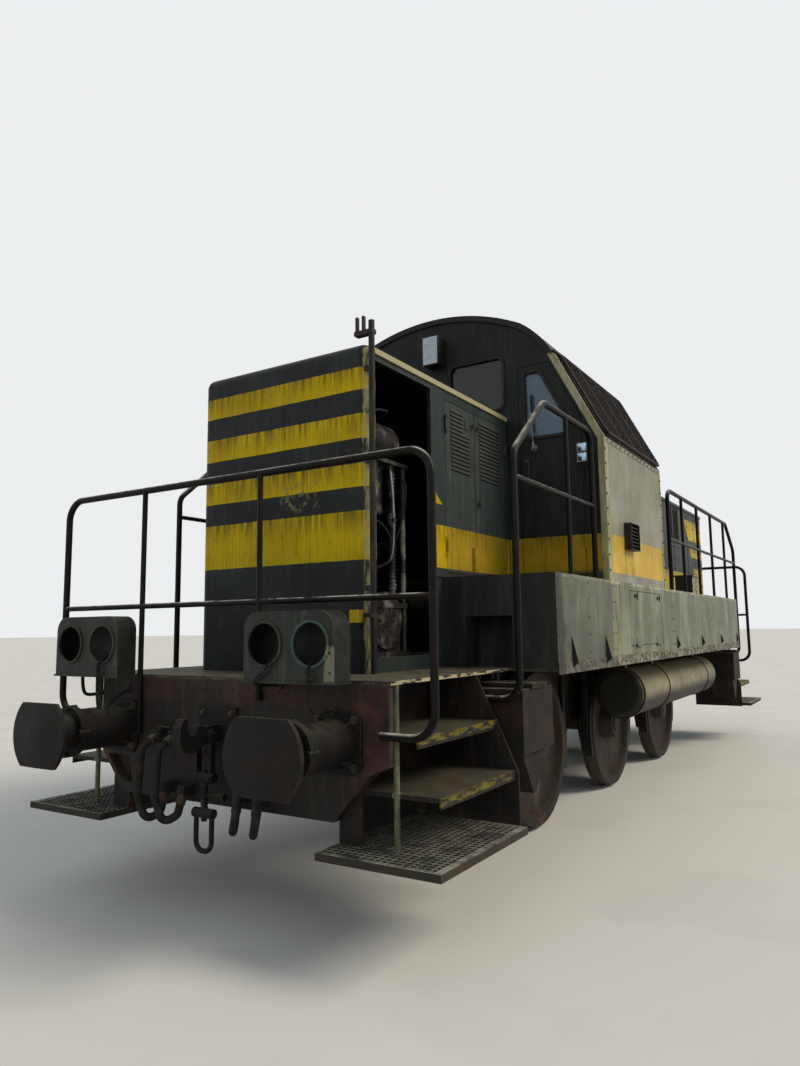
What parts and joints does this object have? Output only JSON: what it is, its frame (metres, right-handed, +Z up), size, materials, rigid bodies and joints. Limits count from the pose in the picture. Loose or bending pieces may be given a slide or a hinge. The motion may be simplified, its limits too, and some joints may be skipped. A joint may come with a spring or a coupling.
{
  "type": "diesel locomotive",
  "caption": "Diesel shunting locomotive with an arched central cab between a short and a long hood, end platforms with handrails, corner steps and sprung buffers.",
  "frame": {"origin": "under the middle of the locomotive, level with the wheel flanges' tips; the rail top is 28 mm above it", "axes": "+X towards the short-hood end, +Y towards the left side, +Z up"},
  "size_m": [11.17, 3.27, 4.5176],
  "materials": {
    "frame_paint": "dull, rusty",
    "deck_plate": "worn chequered steel",
    "beam_red": "faded",
    "cast_steel": "rusty",
    "rail_tube": "rusty tube",
    "charcoal_paint": "dull",
    "hood_paint": "dull, striped",
    "door_paint": "dull",
    "side_paint": "faded",
    "cab_paint": "faded",
    "roof_paint": "dull",
    "glass": "clear",
    "guard_wire": "rusty wire",
    "rubber": "matt",
    "machinery": "oily",
    "wheel_steel": "rusty, bright tread",
    "tank_paint": "dusty",
    "step_steel": "worn",
    "desk_paint": "satin",
    "seat_cover": "worn"
  },
  "bodies": {
    "locomotive": {"main_frame": "frame_paint", "deck": "deck_plate", "end_beams": "beam_red", "buffers": "cast_steel", "draw_gear": "cast_steel", "air_hoses": "rubber", "lamp_boxes": "charcoal_paint", "end_rails": "rail_tube", "side_rails": "rail_tube", "corner_steps": "step_steel", "step_gratings": "step_steel", "side_boxes": "side_paint", "cab_skirts": "side_paint", "short_hood": "hood_paint", "compressor_set": "machinery", "bay_pipes": "machinery", "engine_block": "machinery", "transmission_block": "machinery", "long_hood": "hood_paint", "hood_grilles": "guard_wire", "roof_fittings": "frame_paint", "cab_floor": "deck_plate", "cab_end_walls": "charcoal_paint", "cab_side_walls": "cab_paint", "cab_roof": "roof_paint", "cab_glass": "glass", "window_guards": "guard_wire", "cab_desk": "desk_paint", "cab_seats": "seat_cover", "tanks": "tank_paint", "sandboxes": "frame_paint", "axleboxes": "cast_steel", "brake_gear": "cast_steel", "drive_line": "cast_steel", "signal_mast": "rail_tube", "cab_fittings": "charcoal_paint"},
    "wheelset_front": {"wheelset_front": "wheel_steel"},
    "wheelset_middle": {"wheelset_middle": "wheel_steel"},
    "wheelset_rear": {"wheelset_rear": "wheel_steel"},
    "front_cab_door": {"cab_door_front": "charcoal_paint", "cab_door_glass_front": "glass"},
    "rear_cab_door": {"cab_door_rear": "charcoal_paint", "cab_door_glass_rear": "glass"},
    "left_hatch": {"skirt_hatch_left": "side_paint"},
    "right_hatch": {"skirt_hatch_right": "side_paint"},
    "short_left_leaf_1": {"short_door_left_1": "door_paint"},
    "short_left_leaf_2": {"short_door_left_2": "door_paint"},
    "short_right_leaf_1": {"short_door_right_1": "door_paint"},
    "short_right_leaf_2": {"short_door_right_2": "door_paint"},
    "long_left_leaf_1": {"long_door_left_1": "door_paint"},
    "long_left_leaf_2": {"long_door_left_2": "door_paint"},
    "long_right_leaf_1": {"long_door_right_1": "door_paint"},
    "long_right_leaf_2": {"long_door_right_2": "door_paint"}
  },
  "joints": [
    {"name": "front_axle_turn", "type": "hinge", "parent": "locomotive", "child": "wheelset_front", "pos_m": [2.05, 0, 0.659], "axis": [0, 1, 0], "continuous": true},
    {"name": "middle_axle_turn", "type": "hinge", "parent": "locomotive", "child": "wheelset_middle", "pos_m": [0, 0, 0.659], "axis": [0, 1, 0], "continuous": true},
    {"name": "rear_axle_turn", "type": "hinge", "parent": "locomotive", "child": "wheelset_rear", "pos_m": [-2.05, 0, 0.659], "axis": [0, 1, 0], "continuous": true},
    {"name": "front_cab_door_swing", "type": "hinge", "parent": "locomotive", "child": "front_cab_door", "pos_m": [2.352, 1.4, 2.628], "axis": [0, 0, 1], "range_deg": [0, 90]},
    {"name": "rear_cab_door_swing", "type": "hinge", "parent": "locomotive", "child": "rear_cab_door", "pos_m": [0.548, -1.5, 2.628], "axis": [0, 0, 1], "range_deg": [0, 90]},
    {"name": "left_hatch_drop", "type": "hinge", "parent": "locomotive", "child": "left_hatch", "pos_m": [1.2775, 1.587, 1.513], "axis": [-1, 0, 0], "range_deg": [0, 120]},
    {"name": "right_hatch_drop", "type": "hinge", "parent": "locomotive", "child": "right_hatch", "pos_m": [1.2775, -1.587, 1.513], "axis": [1, 0, 0], "range_deg": [0, 120]},
    {"name": "short_left_leaf_1_swing", "type": "hinge", "parent": "locomotive", "child": "short_left_leaf_1", "pos_m": [3.441, 0.74, 2.628], "axis": [0, 0, -1], "range_deg": [0, 110]},
    {"name": "short_right_leaf_1_swing", "type": "hinge", "parent": "locomotive", "child": "short_right_leaf_1", "pos_m": [3.441, -0.74, 2.628], "axis": [0, 0, 1], "range_deg": [0, 110]},
    {"name": "short_left_leaf_2_swing", "type": "hinge", "parent": "locomotive", "child": "short_left_leaf_2", "pos_m": [2.398, 0.74, 2.628], "axis": [0, 0, 1], "range_deg": [0, 90]},
    {"name": "short_right_leaf_2_swing", "type": "hinge", "parent": "locomotive", "child": "short_right_leaf_2", "pos_m": [2.398, -0.74, 2.628], "axis": [0, 0, -1], "range_deg": [0, 90]},
    {"name": "long_left_leaf_1_swing", "type": "hinge", "parent": "locomotive", "child": "long_left_leaf_1", "pos_m": [-0.1, 0.987, 2.628], "axis": [0, 0, -1], "range_deg": [0, 110]},
    {"name": "long_right_leaf_1_swing", "type": "hinge", "parent": "locomotive", "child": "long_right_leaf_1", "pos_m": [-0.1, -0.987, 2.628], "axis": [0, 0, 1], "range_deg": [0, 110]},
    {"name": "long_left_leaf_2_swing", "type": "hinge", "parent": "locomotive", "child": "long_left_leaf_2", "pos_m": [-1.04, 0.987, 2.628], "axis": [0, 0, 1], "range_deg": [0, 110]},
    {"name": "long_right_leaf_2_swing", "type": "hinge", "parent": "locomotive", "child": "long_right_leaf_2", "pos_m": [-1.04, -0.987, 2.628], "axis": [0, 0, -1], "range_deg": [0, 110]}
  ]
}
